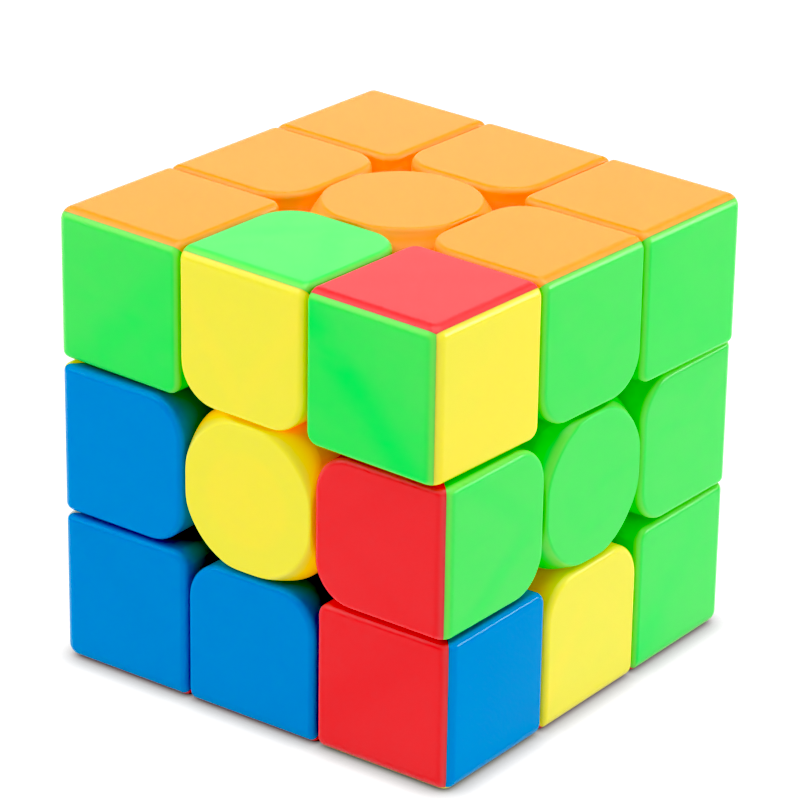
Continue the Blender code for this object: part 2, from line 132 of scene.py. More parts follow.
# Each dye on a face and over an inner wall, then the painted sheen along a fillet, the painted light and shade
# far down in a gap, and the strength of the painted glow in a gap
PIGMENTS_AND_PAINTED_LIGHT = {
    "orange": ((0.92, 0.36, 0.046), (0.92, 0.35, 0.043), (0.92, 0.41, 0.105), (0.97, 0.36, 0.14), 0.28),
    "red": ((0.835, 0.067, 0.073), (0.825, 0.061, 0.067), (0.84, 0.11, 0.115), (0.80, 0.02, 0.02), 0.12),
    "yellow": ((0.85, 0.79, 0.098), (0.985, 0.78, 0.095), (0.88, 0.795, 0.12), (1.0, 0.47, 0.01), 0.2),
    "white": ((0.76, 0.765, 0.76), (0.745, 0.745, 0.73), (0.77, 0.775, 0.77), (0.74, 0.72, 0.66), 0.15),
    "green": ((0.102, 0.765, 0.146), (0.032, 0.79, 0.128), (0.22, 0.80, 0.155), (0.01, 0.90, 0.02), 0.05),
    "blue": ((0.0, 0.279, 0.67), (0.0, 0.27, 0.655), (0.0, 0.305, 0.70), (0.06, 0.36, 0.44), 0.03),
}
GREY = (0.8, 0.8, 0.8, 1.0)
BLACK = (0.0, 0.0, 0.0, 1.0)

# Facets and tolerances
BALL_SEGMENTS = 96
HUB_SEGMENTS = 64
ROD_SEGMENTS = 48
INNER_SEGMENTS = 14
OUTER_SEGMENTS = 12
RIM_SEGMENTS = 5
FILLET_SEGMENTS = 4
TRACK_STEPS = 8
CENTER_STEPS = 96
SMALL_STEPS = 64
CAP_CORNER_STEPS = 16
CAP_SLOPE_STEPS = 8
CAP_FILLET_STEPS = 6
THREAD_STEPS = 24
THREAD_SIDES = 1
SPRING_STEPS = 32
SPRING_SIDES = 4
SHARP_ANGLE = math.radians(32)
MERGE_DISTANCE = 0.001 * MM
CUT_DISTANCE = 0.0001 * MM
NEAR_ENOUGH = 0.01 * MM
SQUARE_NORMAL = 0.01
FILLET_ROOM = 2.2

# The spring's closed ends, and the thread's fading ends
FLAT_TURN = 0.75
FLAT_PITCH = 0.78 * MM
THREAD_LEAST = 0.1
THREAD_FADE = 6

# What shows through a shell: its place in from the cube's own edges, its soft run, and how strongly it shows
CORNER_WALL = 21.5 * MM
CORNER_WALL_RUN = (5.0 * MM, 0.3 * MM)
CORNER_WALL_SHARE = 0.35
CORNER_FOOT_RUN = (15.0 * MM, 0.0)
CORNER_FOOT_SHARE = 0.5
PIN_FAR = 5.2 * MM
PIN_CLOSE = 9.4 * MM
PIN_RUN = (2.8 * MM, 0.4 * MM)
PIN_SHARE = 0.3
EDGE_LEG = 11.9 * MM
EDGE_LEG_LEAN = 0.74
EDGE_LEG_RUN = (3.0 * MM, 0.2 * MM)
EDGE_LEG_SHARE = 0.25
PLUG_RUN = (6.6 * MM, 4.8 * MM)
PLUG_SHARE = 0.3
LEAST_SHOWN = 0.25

# Depths below a face where the painted sheen on the fillets, the painted light and shade in the gap and the
# painted glow in the gap begin and end
PAINTED_SHEEN_START = (0.02 * MM, 0.3 * MM)
PAINTED_SHEEN_END = (1.2 * MM, 0.55 * MM)
PAINTED_GAP_START = (0.5 * MM, 3.0 * MM)
PAINTED_GLOW_START = (0.1 * MM, 1.6 * MM)
PAINTED_GLOW_END = (9.0 * MM, 3.0 * MM)

# Noise: its scales in features per metre, the values that it runs between, and how its streaks lie
CLOUD_TURN = (0.6, 0.9, 0.3)
CLOUD_STRETCH = (110.0, 110.0, 220.0)
CLOUD_RUN = (0.4, 0.7)
UNEVEN_SCALE = 190.0
UNEVEN_RUN = (-0.3, 0.6)
THIN_SCALE = 19.0
THIN_RUN = (0.4, 0.6)
HAZE_SCALE = 260.0
HAZE_RUN = (0.35, 0.7)
HAIR_TURNS = ((0.3, 0.5, 0.2), (1.1, 0.2, 0.9))
HAIR_STRETCH = (60.0, 5200.0, 5200.0)
HAIR_RUN = (0.68, 0.8)
GRAIN_SCALE = 3200.0
SAG_SCALE = 160.0
SAG_SHARE = 6.0

# Depth of the grain, and how the plastic bends and spreads light
GRAIN_DEPTH = 0.004 * MM
PLASTIC_IOR = 1.5
SPREAD_LEAST = 0.25

# The stage: each softbox's place and width, and the floor
SOFTBOXES = {
    "overhead": ((0.1, 0.1, 0.9), 0.9),
    "backdrop": ((-0.45, 0.6, 0.33), 0.6),
    "left": ((-0.5, -0.5, 0.53), 0.7),
    "rim": ((0.5, 0.58, 0.2), 0.2),
    "side": ((0.48, 0.36, 0.136), 0.06),
    "fill": ((0.55, -0.73, 0.404), 1.0),
}
FLOOR_REACH = 4.0
FLOOR_GREY = (0.12, 0.12, 0.12, 1.0)
# Reach and samples of the floor's painted contact shadow
CONTACT_REACH = 3.0 * MM
CONTACT_SAMPLES = 8
SENSOR_WIDTH = 36.0
CLIP_START = 0.01


# Properties


def length(name, description, size):
    return FloatProperty(
        name=name,
        description=description,
        default=size,
        min=0.0,
        precision=5,
        subtype="DISTANCE",
        unit="LENGTH",
    )


def angle(name, description, degrees):
    return FloatProperty(
        name=name,
        description=description,
        default=math.radians(degrees),
        subtype="ANGLE",
        unit="ROTATION",
    )


def colour(name, description, value):
    return FloatVectorProperty(
        name=name,
        description=description,
        default=value,
        size=3,
        min=0.0,
        max=1.0,
        subtype="COLOR",
    )


def share(name, description, value, most=1.0):
    return FloatProperty(
        name=name,
        description=description,
        default=value,
        min=0.0,
        max=most,
        subtype="FACTOR",
    )


def power(name, description, watts):
    return FloatProperty(
        name=name,
        description=description,
        default=watts,
        min=0.0,
        subtype="POWER",
        unit="POWER",
    )


def dyes_and_painted_light():
    """The properties of each coloured plastic and of its painted sheen, painted gap light and shade and
    painted glow.
    """
    made = {}
    for name, (face, deep, rim, gap, glow) in PIGMENTS_AND_PAINTED_LIGHT.items():
        title = name.capitalize()
        made[name] = colour(title, f"{title} shells", face)
        made[f"{name}_deep"] = colour(f"Deep {name}", f"{title} shells over an inner wall", deep)
        # The rim colour is a painted sheen along the fillets
        made[f"{name}_rim"] = colour(f"{title} rims", f"{title} shells along their fillets", rim)
        # The gap colour is painted light and shade far down in a gap
        made[f"{name}_gap"] = colour(f"{title} in gaps", f"{title} walls far down in a gap", gap)
        # The glow is painted light: the gap walls emit light of their own
        made[f"{name}_glow"] = share(f"{title} glow", f"Light that comes through {name} walls in a gap", glow)
    return made


class CubeSizes(PropertyGroup):
    """Sizes of the blocks, the feet and tracks below them, and the works inside."""

    side: length("Side", "Length of the cube's side", CAD_SIDE)
    top_turn: angle("Top turn", "How far the top layer stands from square", -2.1)
    bottom_turn: angle("Bottom turn", "How far the bottom layer stands from square", 0.9)
    piece_clearance: length("Piece clearance", "Half of the gap between two blocks", 0.2 * MM)
    track_clearance: length("Track clearance", "Room between a foot and its track", 0.3 * MM)
    seat_clearance: length("Seat clearance", "Room between pieces that seat on each other", 0.3 * MM)
    seam_gap: length("Seam gap", "Gap between two coloured shells of one piece", 0.01 * MM)

    outer_fillet: length("Outer fillet", "Radius along the cube's own edges", 1.7 * MM)
    rim_fillet: length("Rim fillet", "Radius round each coloured face", 0.8 * MM)
    edge_inner_radius: length("Edge inner radius", "Radius of an edge's corners beside the cap", 5.0 * MM)
    corner_inner_radius: length("Corner inner radius", "Radius of a corner's upright inner edges", 1.6 * MM)
    corner_neck_depth: length("Corner neck depth", "Track below the corner blocks", 3.5 * MM)
    edge_neck_depth: length("Edge neck depth", "Track below the edge waists", 1.8 * MM)

    flange_radius: length("Flange radius", "Flange of a center base", 6.3 * MM)
    stalk_radius: length("Stalk radius", "Stalk of a center base", 4.3 * MM)
    ring_height: length("Ring height", "Ring that the cap sits on", 0.8 * MM)
    neck_height: length("Neck height", "Plug inside the cap", 3.6 * MM)
    cup_floor: length("Cup floor", "Floor under the spring", 0.6 * MM)
    cap_thickness: length("Cap thickness", "Top wall of a cap", 1.5 * MM)
    cap_wall: length("Cap wall", "Side wall of a cap", 1.1 * MM)
    cap_fillet: length("Cap fillet", "Radius where a cap's face meets its wall", 0.35 * MM)
    cap_face_margin: length("Cap face margin", "How far a cap's round face reaches past its wall", 0.17 * MM)
    cap_corner_radius: length("Cap corner radius", "Rounded corners of a cap's square wall", 4.8 * MM)
    cap_slope: angle("Cap slope", "Fall of a cap's corners beyond its round face", 57.0)
    cap_blend: length("Cap blend", "How far the round face and the slope run into each other", 0.28 * MM)
    small_fillet: length("Small fillet", "Softened corners of the inner works", 0.12 * MM)

    arm_radius: length("Arm radius", "Arms of the core", 3.1 * MM)
    arm_length: length("Arm length", "From the core's middle to an arm's end", 8.4 * MM)
    thread_depth: length("Thread depth", "Depth of a screw hole in its arm", 5.0 * MM)
    shank_radius: length("Shank radius", "Plain part of a screw", 1.4 * MM)
    thread_height: length("Thread height", "How far the thread stands out of the shank", 0.2 * MM)
    thread_pitch: length("Thread pitch", "Rise of the thread in one turn", 0.85 * MM)
    head_radius: length("Head radius", "Screw head", 2.8 * MM)
    head_height: length("Head height", "Screw head", 1.9 * MM)
    slot_width: length("Slot width", "Arms of the cross recess", 0.7 * MM)
    slot_length: length("Slot length", "Cross recess from end to end", 3.2 * MM)
    slot_depth: length("Slot depth", "Cross recess", 0.9 * MM)
    washer_radius: length("Washer radius", "Between spring and screw head", 3.1 * MM)
    washer_thickness: length("Washer thickness", "Between spring and screw head", 0.6 * MM)
    spring_radius: length("Spring radius", "Middle of the wire", 2.45 * MM)
    spring_wire: length("Spring wire", "Diameter of the wire", 0.7 * MM)
    spring_rise: length("Spring rise", "From the first to the last end of the wire's middle", 4.8 * MM)
    spring_curls: IntProperty(name="Spring curls", description="Turns of the wire", default=4, min=2)

    @property
    def half(self):
        return self.side / 2

    @property
    def block_near(self):
        return self.side / 6 + self.piece_clearance

    @property
    def block_wide(self):
        return self.side / 6 - self.piece_clearance

    @property
    def waist_near(self):
        return self.flange_radius + 2 * self.piece_clearance

    @property
    def foot_near(self):
        return self.stalk_radius + 2 * self.piece_clearance

    @property
    def corner_track(self):
        return math.sqrt(3) * self.block_near + self.corner_neck_depth

    @property
    def edge_track(self):
        return math.sqrt(2) * self.waist_near + self.edge_neck_depth

    @property
    def hub_radius(self):
        return math.sqrt(2) * self.foot_near - self.track_clearance

    @property
    def bore_radius(self):
        return self.shank_radius + self.seat_clearance

    @property
    def spring_seat(self):
        return self.edge_track + self.track_clearance + self.cup_floor

    @property
    def washer_seat(self):
        return self.spring_seat + self.spring_rise + self.spring_wire + 2 * self.seat_clearance

    @property
    def head_seat(self):
        return self.washer_seat + self.washer_thickness + self.seat_clearance

    @property
    def ring_top(self):
        return self.corner_track + self.track_clearance + self.ring_height

    @property
    def cap_inside(self):
        return self.block_wide - self.cap_wall

    @property
    def cap_face_radius(self):
        return self.block_wide + self.cap_face_margin


class CubeFinish(PropertyGroup):
    """Colours and surface of the moulded and metal pieces, with the painted sheen, painted gap light and shade
    and painted glow of the shells.
    """

    core_plastic: colour("Core", "Plastic of the core", (0.03, 0.03, 0.033))
    washer_plastic: colour("Washer", "Plastic of the washers", (0.78, 0.78, 0.72))
    steel: colour("Steel", "Plated steel of screws and springs", (0.62, 0.62, 0.63))
    shell_roughness: share("Shell roughness", "Roughness of the coloured shells", 0.17)
    shell_gloss: share("Shell gloss", "How strongly the shells mirror the room", 0.22)
    shell_glow: share("Shell glow", "Share of the light that spreads inside a shell", 0.85)
    glow_depth: length("Glow depth", "How far light spreads inside a shell", 0.6 * MM)
    clouds: share("Clouds", "How far the pigment deepens in clouds", 0.12)


CubeFinish.__annotations__.update(dyes_and_painted_light())


class CubeStage(PropertyGroup):
    """Camera and studio lights."""

    azimuth: angle("Azimuth", "Camera's way round the cube, from straight in front", 37.23)
    elevation: angle("Elevation", "Camera's height above the horizon", 23.84)
    roll: angle("Roll", "Camera's tilt about its own axis", 0.89)
    distance: length("Distance", "From the camera to the cube's middle", 0.4843)
    shift_x: FloatProperty(name="Shift across", description="Share of the picture's width", default=0.0015)
    shift_y: FloatProperty(name="Shift up", description="Share of the picture's width", default=0.0288)
    lens: FloatProperty(
        name="Lens",
        description="Focal length",
        default=186.4,
        subtype="DISTANCE_CAMERA",
        unit="CAMERA",
    )
    room: share("Room light", "Strength of the white room", 0.25, most=10.0)
    floor_glow: share("Floor glow", "Light that comes up through the pale floor", 1.05, most=10.0)
    black_level: share("Black level", "Light that the camera no longer sees", 0.061)
    overhead: power("Overhead", "Large softbox above", 7.6)
    backdrop: power("Backdrop", "Softbox behind, which the top face mirrors", 1.0)
    left: power("Left", "Softbox high in front on the left, which the front fillets mirror", 3.6)
    rim: power("Rim", "Softbox behind on the right, which the rims mirror", 1.15)
    side: power("Side", "Compact light on the right, for the glints", 0.5)
    fill: power("Fill", "Softbox round the camera, which reaches into the gaps", 1.5)


# Mesh helpers


def evaluated_mesh(obj):
    graph = bpy.context.evaluated_depsgraph_get()
    return bpy.data.meshes.new_from_object(obj.evaluated_get(graph))


def loose(mesh):
    """An object on the bench, for cutting, joining and turning."""
    obj = bpy.data.objects.new("bench", mesh)
    bpy.context.scene.collection.objects.link(obj)
    return obj


def mesh_of(bm):
    mesh = bpy.data.meshes.new("bench")
    bm.to_mesh(mesh)
    bm.free()
    return mesh


def taken(obj):
    """The finished mesh of an object on the bench, which is then cleared away."""
    mesh = evaluated_mesh(obj)
    bpy.data.objects.remove(obj, do_unlink=True)
    return mesh


def combined(first, operation, second):
    """Two closed meshes joined, cut or intersected."""
    target = loose(first)
    tool = loose(second)
    modifier = target.modifiers.new(operation.lower(), "BOOLEAN")
    modifier.operation = operation
    modifier.object = tool
    mesh = taken(target)
    bpy.data.objects.remove(tool, do_unlink=True)
    return mesh


def box(low, high):
    low = Vector(low)
    high = Vector(high)
    bm = bmesh.new()
    bmesh.ops.create_cube(bm, size=1.0)
    bmesh.ops.scale(bm, vec=high - low, verts=bm.verts)
    bmesh.ops.translate(bm, vec=(low + high) / 2, verts=bm.verts)
    return bm


def ball(radius, segments=BALL_SEGMENTS):
    bm = bmesh.new()
    bmesh.ops.create_uvsphere(bm, u_segments=segments, v_segments=segments // 2, radius=radius)
    return mesh_of(bm)


def rod(radius, start, end, direction, end_radius=None):
    """A cylinder or cone along a direction, from one distance to another along it."""
    bm = bmesh.new()
    bmesh.ops.create_cone(
        bm,
        cap_ends=True,
        segments=ROD_SEGMENTS,
        radius1=radius,
        radius2=radius if end_radius is None else end_radius,
        depth=end - start,
    )
    bmesh.ops.translate(bm, vec=(0, 0, (start + end) / 2), verts=bm.verts)
    bmesh.ops.rotate(bm, cent=(0, 0, 0), matrix=facing(direction), verts=bm.verts)
    return mesh_of(bm)


def turned(profile, steps, closed):
    """A profile of (radius, height) turned about Z."""
    bm = bmesh.new()
    points = [bm.verts.new((radius, 0, height)) for radius, height in profile]
    for first, second in zip(points, points[1:]):
        bm.edges.new((first, second))
    if closed:
        bm.edges.new((points[-1], points[0]))
    obj = loose(mesh_of(bm))
    screw = obj.modifiers.new("turn", "SCREW")
    screw.steps = steps
    screw.render_steps = steps
    screw.use_merge_vertices = True
    screw.merge_threshold = MERGE_DISTANCE
    return taken(obj)


def rounded(profile, radius, closed):
    """A profile with each of its corners rounded, as far as the stretches beside it leave room."""
    points = [Vector(point) for point in profile]
    count = len(points)
    outline = []
    for index, point in enumerate(points):
        at_end = not closed and index in (0, count - 1)
        before = points[index - 1]
        after = points[(index + 1) % count]
        reach = min(radius, (point - before).length / FILLET_ROOM, (after - point).length / FILLET_ROOM)
        if at_end or reach < NEAR_ENOUGH:
            outline.append(point)
            continue
        start = point + (before - point).normalized() * reach
        end = point + (after - point).normalized() * reach
        for step in range(FILLET_SEGMENTS + 1):
            share_along = step / FILLET_SEGMENTS
            first = start.lerp(point, share_along)
            second = point.lerp(end, share_along)
            outline.append(first.lerp(second, share_along))
    return outline


def facing(direction):
    """The turn that brings +Z to a face's direction."""
    return Vector((0, 0, 1)).rotation_difference(direction).to_matrix()


def columns(*vectors):
    return Matrix(vectors).transposed()


def bevel(bm, edges, radius, segments):
    bmesh.ops.bevel(bm, geom=edges, offset=radius, segments=segments, profile=0.5, affect="EDGES")


def edges_where(bm, test):
    return [edge for edge in bm.edges if test((edge.verts[0].co + edge.verts[1].co) / 2)]


def near(value, target):
    return abs(value - target) < NEAR_ENOUGH


def rounded_block(bm, sizes, inner_test, inner_radius, outer_test, shows):
    """Rounds a block's inner corners, then the cube's own edges, then the rim of what shows."""
    bevel(bm, edges_where(bm, inner_test), inner_radius, INNER_SEGMENTS)
    bevel(bm, edges_where(bm, outer_test), sizes.outer_fillet, OUTER_SEGMENTS)
    bm.normal_update()
    outside = {face for face in bm.faces if shows(face.normal)}
    rim = [edge for edge in bm.edges if len(outside.intersection(edge.link_faces)) == 1]
    bevel(bm, rim, sizes.rim_fillet, RIM_SEGMENTS)
    bmesh.ops.recalc_face_normals(bm, faces=bm.faces)
    return mesh_of(bm)


def kept_side(bm, point, normal):
    """Cuts a closed mesh along a plane, keeps the side that the normal points to and closes the cut."""
    bmesh.ops.bisect_plane(
        bm,
        geom=list(bm.verts) + list(bm.edges) + list(bm.faces),
        dist=CUT_DISTANCE,
        plane_co=point,
        plane_no=normal,
        clear_inner=True,
    )
    bmesh.ops.holes_fill(bm, edges=[edge for edge in bm.edges if edge.is_boundary], sides=0)
    bmesh.ops.recalc_face_normals(bm, faces=bm.faces)
    if any(not edge.is_manifold for edge in bm.edges):
        raise RuntimeError("a shell came out open along its seam")


# Shapes of the pieces, each in its own frame


def ball_beside(radius, half_slab):
    """A ball without the slab about X = 0, which cuts both ends of an edge and leaves its middle."""
    slab = box((-half_slab, -2 * radius, -2 * radius), (half_slab, 2 * radius, 2 * radius))
    return combined(ball(radius), "DIFFERENCE", mesh_of(slab))


def edge_block(sizes):
    """An edge's block along X, with its two faces to +Y and +Z."""
    near_side = sizes.block_near
    wide = sizes.block_wide
    bm = box((-wide, near_side, near_side), (wide, sizes.half, sizes.half))

    def inner(middle):
        return near(abs(middle.x), wide) and (near(middle.y, near_side) or near(middle.z, near_side))

    def outer(middle):
        return near(middle.y, sizes.half) and near(middle.z, sizes.half)

    def shows(normal):
        return abs(normal.x) < SQUARE_NORMAL and min(normal.y, normal.z) > -SQUARE_NORMAL

    return rounded_block(bm, sizes, inner, sizes.edge_inner_radius, outer, shows)


def edge_shell(sizes):
    """The upper of an edge's two shells: its face, and its share of the waist and the foot."""
    waist_wide = sizes.flange_radius
    foot_wide = sizes.stalk_radius
    edge_track = sizes.edge_track
    corner_track = sizes.corner_track
    room = sizes.track_clearance
    foot = box((-foot_wide, *[sizes.foot_near] * 2), (foot_wide, edge_track, edge_track))
    foot = combined(mesh_of(foot), "INTERSECT", ball(edge_track - room))
    waist = box((-waist_wide, *[sizes.waist_near] * 2), (waist_wide, corner_track, corner_track))
    waist = combined(mesh_of(waist), "INTERSECT", ball(corner_track - room))
    waist = combined(waist, "DIFFERENCE", ball_beside(edge_track + room, foot_wide))
    waist = combined(waist, "UNION", foot)
    block = combined(edge_block(sizes), "DIFFERENCE", ball_beside(corner_track + room, waist_wide))
    bm = bmesh.new()
    bm.from_mesh(combined(block, "UNION", waist))
    kept_side(bm, (0, 0, sizes.seam_gap / math.sqrt(2)), (0, -1, 1))
    return mesh_of(bm)


def corner_block(sizes):
    """A corner's block in the octant where X, Y and Z are positive."""
    near_side = sizes.block_near
    bm = box([near_side] * 3, [sizes.half] * 3)

    def inner(middle):
        return sum(near(value, near_side) for value in middle) == 2

    def outer(middle):
        return sum(near(value, sizes.half) for value in middle) == 2

    def shows(normal):
        return min(normal) > -SQUARE_NORMAL

    return rounded_block(bm, sizes, inner, sizes.corner_inner_radius, outer, shows)


def corner_shell(sizes):
    """The upper of a corner's three shells: its face, and its share of the foot."""
    foot = mesh_of(box([sizes.waist_near] * 3, [sizes.corner_track] * 3))
    foot = combined(foot, "INTERSECT", ball(sizes.corner_track - sizes.track_clearance))
    bm = bmesh.new()
    bm.from_mesh(combined(corner_block(sizes), "UNION", foot))
    offset = (0, 0, sizes.seam_gap / math.sqrt(2))
    kept_side(bm, offset, (-1, 0, 1))
    kept_side(bm, offset, (0, -1, 1))
    return mesh_of(bm)


def sphere_arc(sphere, start, end):
    """Points (radius, height) on a ball about the origin, between two radii about Z."""
    radii = [start + (end - start) * step / TRACK_STEPS for step in range(TRACK_STEPS + 1)]
    return [(radius, math.sqrt(sphere * sphere - radius * radius)) for radius in radii]


def center_base(sizes):
    """Stalk, flange and ring, whose undersides follow the tracks, with the spring's cup inside."""
    edge_room = sizes.edge_track + sizes.track_clearance
    corner_room = sizes.corner_track + sizes.track_clearance
    cup = max(sizes.washer_radius, sizes.spring_radius + sizes.spring_wire / 2) + sizes.seat_clearance
    plug = sizes.cap_inside - sizes.seat_clearance
    plug_top = sizes.ring_top + sizes.neck_height
    stalk_end = sizes.arm_length + sizes.seat_clearance
    profile = [
        (sizes.bore_radius, sizes.spring_seat),
        (cup, sizes.spring_seat),
        (cup, plug_top),
        (plug, plug_top),
        (plug, sizes.ring_top),
        (sizes.block_wide, sizes.ring_top),
        *sphere_arc(corner_room, sizes.block_wide, sizes.flange_radius),
        *sphere_arc(edge_room, sizes.flange_radius, sizes.stalk_radius),
        (sizes.stalk_radius, stalk_end),
        (sizes.bore_radius, stalk_end),
    ]
    return turned(rounded(profile, sizes.small_fillet, True), CENTER_STEPS, True)


def cap_outline(sizes):
    """Points (x, y) round a cap's wall: a square with rounded corners."""
    wide = sizes.block_wide
    radius = sizes.cap_corner_radius
    flat = wide - radius
    quarter_turn = math.radians(90)
    side = []
    for step in range(CAP_CORNER_STEPS):
        side.append(Vector((wide, flat * (2 * step / CAP_CORNER_STEPS - 1))))
    for step in range(CAP_CORNER_STEPS):
        turn = quarter_turn * step / CAP_CORNER_STEPS
        side.append(Vector((flat, flat)) + radius * Vector((math.cos(turn), math.sin(turn))))
    return [Matrix.Rotation(quarter_turn * quarter, 2) @ point for quarter in range(4) for point in side]


def cap_fall(sizes, radius):
    """How far a cap's outside lies below its face, at a distance from its axis."""
    beyond = radius - sizes.cap_face_radius
    blend = sizes.cap_blend
    if beyond < -blend:
        return 0.0
    if beyond < blend:
        return math.tan(sizes.cap_slope) * (beyond + blend) ** 2 / (4 * blend)
    return math.tan(sizes.cap_slope) * beyond


def cap_profile(sizes, wall):
    """Points (radius, height) over a cap's outside and up its inside, where its wall stands this far out."""
    fillet = sizes.cap_fillet
    shoulder = wall - fillet
    flat = min(sizes.cap_face_radius - sizes.cap_blend, shoulder)
    points = []
    for step in range(CAP_SLOPE_STEPS):
        radius = flat + (shoulder - flat) * step / CAP_SLOPE_STEPS
        points.append((radius, sizes.half - cap_fall(sizes, radius)))
    for step in range(CAP_FILLET_STEPS + 1):
        turn = math.radians(90) * step / CAP_FILLET_STEPS
        radius = shoulder + fillet * math.sin(turn)
        points.append((radius, sizes.half - cap_fall(sizes, radius) - fillet * (1 - math.cos(turn))))
    skirt_end = sizes.ring_top + sizes.seat_clearance
    points.append((wall, skirt_end))
    points.append((sizes.cap_inside, skirt_end))
    points.append((sizes.cap_inside, sizes.half - sizes.cap_thickness))
    return points


def center_cap(sizes):
    """A deep cap with a round face, whose wall reaches over the center's plug down to its ring."""
    bm = bmesh.new()
    strips = []
    for point in cap_outline(sizes):
        way = point.normalized()
        profile = cap_profile(sizes, point.length)
        strips.append([bm.verts.new((*way * radius, height)) for radius, height in profile])
    for before, after in zip([strips[-1], *strips], strips):
        for upper in range(len(after) - 1):
            lower = upper + 1
            bm.faces.new((before[upper], before[lower], after[lower], after[upper]))
    bm.faces.new([strip[0] for strip in strips])
    bm.faces.new([strip[-1] for strip in strips])
    bmesh.ops.recalc_face_normals(bm, faces=bm.faces)
    return mesh_of(bm)


def washer(sizes):
    top = sizes.washer_seat + sizes.washer_thickness
    profile = [
        (sizes.bore_radius, top),
        (sizes.washer_radius, top),
        (sizes.washer_radius, sizes.washer_seat),
        (sizes.bore_radius, sizes.washer_seat),
    ]
    return turned(rounded(profile, sizes.small_fillet, True), SMALL_STEPS, True)


def tube(points, radius, sides):
    """A closed mesh tube along points, as thick at each point as the radius function of its share says."""
    curve = bpy.data.curves.new("bench", "CURVE")
    curve.dimensions = "3D"
    curve.bevel_depth = 1.0
    curve.bevel_resolution = sides
    curve.use_fill_caps = True
    spline = curve.splines.new("POLY")
    spline.points.add(len(points) - 1)
    for index, (target, point) in enumerate(zip(spline.points, points)):
        target.co = (*point, 1.0)
        target.radius = radius(index / (len(points) - 1))
    obj = bpy.data.objects.new("bench", curve)
    bpy.context.scene.collection.objects.link(obj)
    bm = bmesh.new()
    bm.from_mesh(taken(obj))
    bmesh.ops.remove_doubles(bm, verts=bm.verts, dist=MERGE_DISTANCE)
    return mesh_of(bm)


def screw_thread(sizes, start, end):
    """The thread's ridge, which fades into the shank at both ends."""
    turns = (end - start) / sizes.thread_pitch
    steps = round(THREAD_STEPS * turns)
    points = []
    for step in range(steps + 1):
        turn = 2 * math.pi * turns * step / steps
        height = start + (end - start) * step / steps
        points.append((sizes.shank_radius * math.cos(turn), sizes.shank_radius * math.sin(turn), height))

    def ridge(along):
        return sizes.thread_height * min(1.0, THREAD_LEAST + THREAD_FADE * min(along, 1 - along))

    return tube(points, ridge, THREAD_SIDES)


def screw(sizes):
    """A pan head with a cross recess, on a shank whose threaded end sits in the core's arm."""
    end = sizes.arm_length - sizes.thread_depth + sizes.seat_clearance
    chamfer = sizes.shank_radius / 2
    top = sizes.head_seat + sizes.head_height
    profile = [
        (0, top),
        (sizes.head_radius - sizes.head_height / 3, top),
        (sizes.head_radius, top - sizes.head_height / 2),
        (sizes.head_radius, sizes.head_seat),
        (sizes.shank_radius, sizes.head_seat),
        (sizes.shank_radius, end + chamfer),
        (sizes.shank_radius - chamfer, end),
        (0, end),
    ]
    mesh = turned(rounded(profile, 3 * sizes.small_fillet, False), SMALL_STEPS, False)
    thread = screw_thread(sizes, end + chamfer, sizes.arm_length)
    mesh = combined(mesh, "UNION", thread)
    low = Vector((-sizes.slot_length / 2, -sizes.slot_width / 2, top - sizes.slot_depth))
    high = Vector((sizes.slot_length / 2, sizes.slot_width / 2, top + sizes.slot_depth))
    for _ in range(2):
        mesh = combined(mesh, "DIFFERENCE", mesh_of(box(low, high)))
        low.xy = low.yx
        high.xy = high.yx
    return mesh


def spring(sizes):
    """A compression spring with closed ends: the wire lies flat for most of a turn, then climbs."""
    start = sizes.spring_seat + sizes.seat_clearance + sizes.spring_wire / 2
    flat_rise = FLAT_PITCH * FLAT_TURN
    turns = [0.0, FLAT_TURN, sizes.spring_curls - FLAT_TURN, sizes.spring_curls]
    rises = [0.0, flat_rise, sizes.spring_rise - flat_rise, sizes.spring_rise]
    points = []
    for step in range(sizes.spring_curls * SPRING_STEPS + 1):
        turn = step / SPRING_STEPS
        part = next(index for index in range(3) if turn <= turns[index + 1])
        along = (turn - turns[part]) / (turns[part + 1] - turns[part])
        height = rises[part] + (rises[part + 1] - rises[part]) * along
        x = sizes.spring_radius * math.cos(2 * math.pi * turn)
        y = sizes.spring_radius * math.sin(2 * math.pi * turn)
        points.append((x, y, start + height))
    return tube(points, lambda along: sizes.spring_wire / 2, SPRING_SIDES)


def core(sizes):
    """A ball with six arms, each with a countersunk hole for its screw."""
    mesh = ball(sizes.hub_radius, HUB_SEGMENTS)
    for direction in FACES.values():
        mesh = combined(mesh, "UNION", rod(sizes.arm_radius, 0.0, sizes.arm_length, direction))
    floor = sizes.arm_length - sizes.thread_depth
    sink = 4 * sizes.small_fillet
    wide = sizes.bore_radius + 2 * sink
    for direction in FACES.values():
        mesh = combined(mesh, "DIFFERENCE", rod(sizes.bore_radius, floor, 2 * sizes.arm_length, direction))
        cone = rod(sizes.bore_radius, sizes.arm_length - sink, sizes.arm_length + sink, direction, wide)
        mesh = combined(mesh, "DIFFERENCE", cone)
    return mesh


# Materials


def node(tree, kind, settings=None, **inputs):
    """Adds a node, sets its settings, and feeds its inputs from sockets or plain values."""
    made = tree.nodes.new(kind)
    for name, value in (settings or {}).items():
        setattr(made, name, value)
    for name, value in inputs.items():
        target = made.inputs[int(name[1:])] if name[0] == "_" else made.inputs[name.replace("_", " ")]
        if isinstance(value, bpy.types.NodeSocket):
            tree.links.new(value, target)
        else:
            target.default_value = value
    return made


def maths(tree, operation, first, second=0.0):
    return node(tree, "ShaderNodeMath", {"operation": operation}, _0=first, _1=second).outputs[0]


def ramp(tree, value, low, high):
    """0 at low and 1 at high, with a soft run between and no change beyond."""
    settings = {"interpolation_type": "SMOOTHSTEP"}
    made = node(tree, "ShaderNodeMapRange", settings, Value=value, From_Min=low, From_Max=high)
    return made.outputs["Result"]


